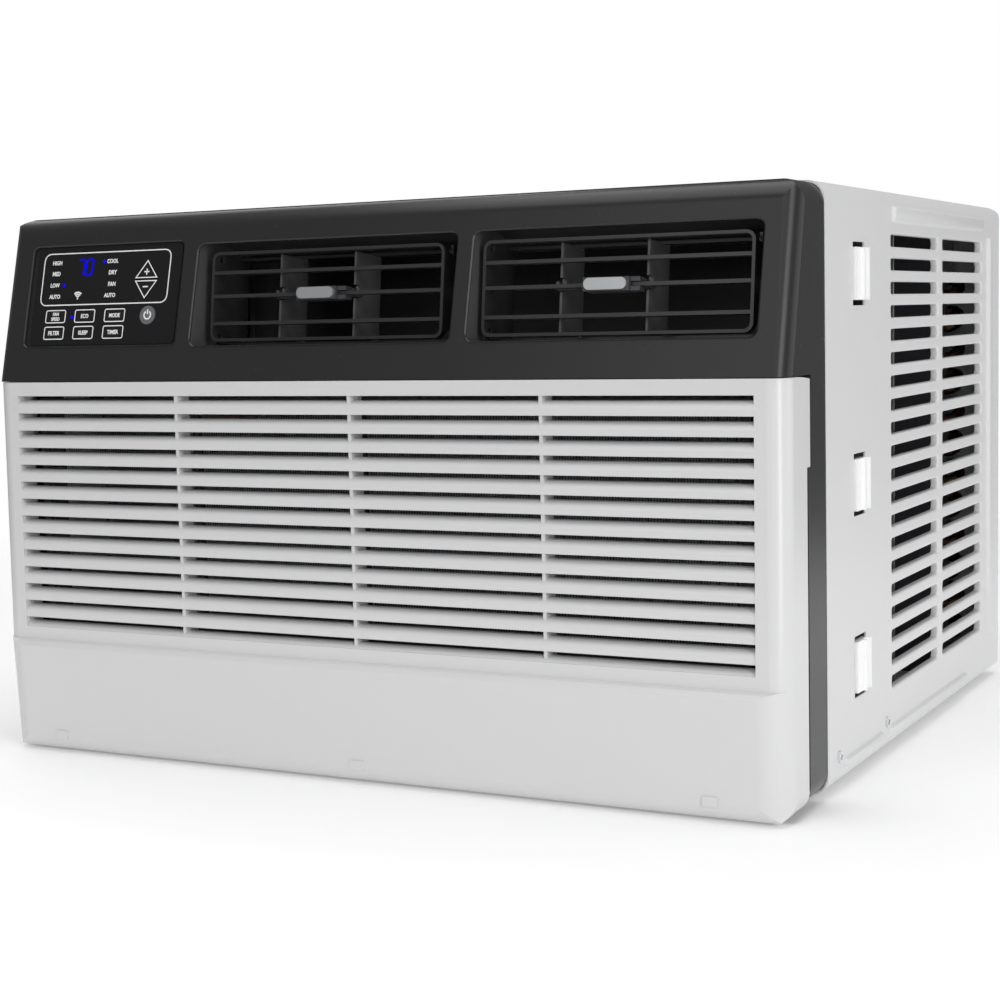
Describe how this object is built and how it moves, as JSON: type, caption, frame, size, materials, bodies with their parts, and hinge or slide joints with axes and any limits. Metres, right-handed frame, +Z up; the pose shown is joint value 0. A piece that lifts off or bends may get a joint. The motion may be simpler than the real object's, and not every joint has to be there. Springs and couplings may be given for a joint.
{
  "type": "window air conditioner",
  "caption": "Window room air conditioner with slatted intake panel, tilting air louvres with steering vanes, push keys and a slotted steel cabinet.",
  "frame": {"origin": "centre of the bounding box on the surface the unit stands on", "axes": "+X to the right seen from the room, -Y out of the front into the room, +Z up"},
  "size_m": [0.608, 0.5454, 0.386],
  "materials": {
    "cabinet_paint": "fine satin paint",
    "pan_steel": "satin",
    "bezel_plastic": "fine satin",
    "duct_plastic": "satin",
    "fascia_gloss": "gloss",
    "board_green": "lacquered",
    "display_dark": "gloss",
    "grille_plastic": "satin",
    "plated_steel": "zinc plated",
    "filter_plastic": "satin",
    "filter_mesh": "woven",
    "louvre_plastic": "satin",
    "slider_plastic": "satin",
    "knob_silver": "metallic paint",
    "key_gloss": "gloss",
    "key_silver": "metallic paint",
    "fin_aluminium": "mill",
    "copper": "drawn copper",
    "galvanised": "galvanised",
    "black_paint": "gloss black paint",
    "rubber_black": "matt",
    "motor_paint": "satin paint",
    "fan_plastic": "satin",
    "foam_white": "moulded foam",
    "capacitor_alu": "drawn can",
    "clip_white": "satin paint",
    "gland_black": "matt"
  },
  "bodies": {
    "chassis": {"cabinet_shell": "cabinet_paint", "base_pan": "pan_steel", "front_frame": "bezel_plastic", "discharge_duct": "duct_plastic", "control_fascia": "fascia_gloss", "control_board": "board_green", "display_module": "display_dark", "hinge_pins": "plated_steel", "evaporator_fins": "fin_aluminium", "evaporator_tubes": "copper", "evaporator_end_plates": "galvanised", "condenser_fins": "fin_aluminium", "condenser_tubes": "copper", "condenser_end_plates": "galvanised", "compressor": "black_paint", "accumulator": "black_paint", "compressor_grommets": "rubber_black", "compressor_nuts": "plated_steel", "suction_line": "copper", "discharge_line": "copper", "capillary_tube": "copper", "filter_drier": "copper", "fan_motor": "motor_paint", "motor_bracket": "galvanised", "blower_housing": "foam_white", "outlet_chamber": "duct_plastic", "bulkhead": "galvanised", "fan_shroud": "fan_plastic", "control_box": "galvanised", "run_capacitor": "capacitor_alu", "cabinet_screws": "plated_steel", "side_rail_clips": "clip_white", "cord_gland": "gland_black", "room_temp_sensor": "copper"},
    "grille_panel": {"grille_panel": "grille_plastic", "air_filter_frame": "filter_plastic", "air_filter_mesh": "filter_mesh"},
    "rotor": {"motor_shaft": "plated_steel", "blower_wheel": "fan_plastic", "condenser_fan": "fan_plastic"},
    "louvre_left": {"louvre_frame_left": "louvre_plastic"},
    "louvre_right": {"louvre_frame_right": "louvre_plastic"},
    "slider_left": {"slider_left": "slider_plastic", "knob_cap_left": "knob_silver"},
    "slider_right": {"slider_right": "slider_plastic", "knob_cap_right": "knob_silver"},
    "vane_left_1": {"vane_left_1": "louvre_plastic"},
    "vane_left_2": {"vane_left_2": "louvre_plastic"},
    "vane_right_1": {"vane_right_1": "louvre_plastic"},
    "vane_right_2": {"vane_right_2": "louvre_plastic"},
    "key_fan_speed": {"key_fan_speed": "key_gloss"},
    "key_eco": {"key_eco": "key_gloss"},
    "key_mode": {"key_mode": "key_gloss"},
    "key_filter": {"key_filter": "key_gloss"},
    "key_sleep": {"key_sleep": "key_gloss"},
    "key_timer": {"key_timer": "key_gloss"},
    "key_power": {"key_power": "key_silver"},
    "key_temp_up": {"key_temp_up": "key_gloss"},
    "key_temp_down": {"key_temp_down": "key_gloss"}
  },
  "joints": [
    {"name": "grille_panel_hinge", "type": "hinge", "parent": "chassis", "child": "grille_panel", "pos_m": [0, -0.25605, 0.014], "axis": [1, 0, 0], "range_deg": [0, 30]},
    {"name": "fan_spin", "type": "hinge", "parent": "chassis", "child": "rotor", "pos_m": [0.04, 0, 0.165], "axis": [0, 1, 0], "continuous": true},
    {"name": "louvre_left_tilt", "type": "hinge", "parent": "chassis", "child": "louvre_left", "pos_m": [-0.0309, -0.22296, 0.32301], "axis": [1, 0, 0], "range_deg": [-15, 12]},
    {"name": "slider_left_slide", "type": "slide", "parent": "louvre_left", "child": "slider_left", "axis": [1, 0, 0], "range_m": [-0.0115, 0.0115]},
    {"name": "vane_left_1_turn", "type": "hinge", "parent": "louvre_left", "child": "vane_left_1", "pos_m": [-0.0699, -0.20708, 0.32106], "axis": [0, 0.1219, 0.9925], "range_deg": [-24.5, 24.5]},
    {"name": "vane_left_2_turn", "type": "hinge", "parent": "louvre_left", "child": "vane_left_2", "pos_m": [-0.0109, -0.20708, 0.32106], "axis": [0, 0.1219, 0.9925], "range_deg": [-24.5, 24.5]},
    {"name": "louvre_right_tilt", "type": "hinge", "parent": "chassis", "child": "louvre_right", "pos_m": [0.1805, -0.22296, 0.32301], "axis": [1, 0, 0], "range_deg": [-15, 12]},
    {"name": "slider_right_slide", "type": "slide", "parent": "louvre_right", "child": "slider_right", "axis": [1, 0, 0], "range_m": [-0.0115, 0.0115]},
    {"name": "vane_right_1_turn", "type": "hinge", "parent": "louvre_right", "child": "vane_right_1", "pos_m": [0.1415, -0.20708, 0.32106], "axis": [0, 0.1219, 0.9925], "range_deg": [-24.5, 24.5]},
    {"name": "vane_right_2_turn", "type": "hinge", "parent": "louvre_right", "child": "vane_right_2", "pos_m": [0.2005, -0.20708, 0.32106], "axis": [0, 0.1219, 0.9925], "range_deg": [-24.5, 24.5]},
    {"name": "key_fan_speed_press", "type": "slide", "parent": "chassis", "child": "key_fan_speed", "axis": [0, 0.9711, -0.2389], "range_m": [0, 0.0007], "stiffness_N_per_m": 600, "springref_m": -0.001},
    {"name": "key_eco_press", "type": "slide", "parent": "chassis", "child": "key_eco", "axis": [0, 0.9711, -0.2389], "range_m": [0, 0.0007], "stiffness_N_per_m": 600, "springref_m": -0.001},
    {"name": "key_mode_press", "type": "slide", "parent": "chassis", "child": "key_mode", "axis": [0, 0.9711, -0.2389], "range_m": [0, 0.0007], "stiffness_N_per_m": 600, "springref_m": -0.001},
    {"name": "key_filter_press", "type": "slide", "parent": "chassis", "child": "key_filter", "axis": [0, 0.9711, -0.2389], "range_m": [0, 0.0007], "stiffness_N_per_m": 600, "springref_m": -0.001},
    {"name": "key_sleep_press", "type": "slide", "parent": "chassis", "child": "key_sleep", "axis": [0, 0.9711, -0.2389], "range_m": [0, 0.0007], "stiffness_N_per_m": 600, "springref_m": -0.001},
    {"name": "key_timer_press", "type": "slide", "parent": "chassis", "child": "key_timer", "axis": [0, 0.9711, -0.2389], "range_m": [0, 0.0007], "stiffness_N_per_m": 600, "springref_m": -0.001},
    {"name": "key_power_press", "type": "slide", "parent": "chassis", "child": "key_power", "axis": [0, 0.9711, -0.2389], "range_m": [0, 0.0007], "stiffness_N_per_m": 600, "springref_m": -0.001},
    {"name": "key_temp_up_press", "type": "slide", "parent": "chassis", "child": "key_temp_up", "axis": [0, 0.9711, -0.2389], "range_m": [0, 0.0007], "stiffness_N_per_m": 600, "springref_m": -0.001},
    {"name": "key_temp_down_press", "type": "slide", "parent": "chassis", "child": "key_temp_down", "axis": [0, 0.9711, -0.2389], "range_m": [0, 0.0007], "stiffness_N_per_m": 600, "springref_m": -0.001}
  ],
  "couplings": [
    {"joint": "vane_left_1_turn", "follows": "slider_left_slide", "rad_per_m": 36.6},
    {"joint": "vane_left_2_turn", "follows": "slider_left_slide", "rad_per_m": 36.6},
    {"joint": "vane_right_1_turn", "follows": "slider_right_slide", "rad_per_m": 36.6},
    {"joint": "vane_right_2_turn", "follows": "slider_right_slide", "rad_per_m": 36.6}
  ]
}
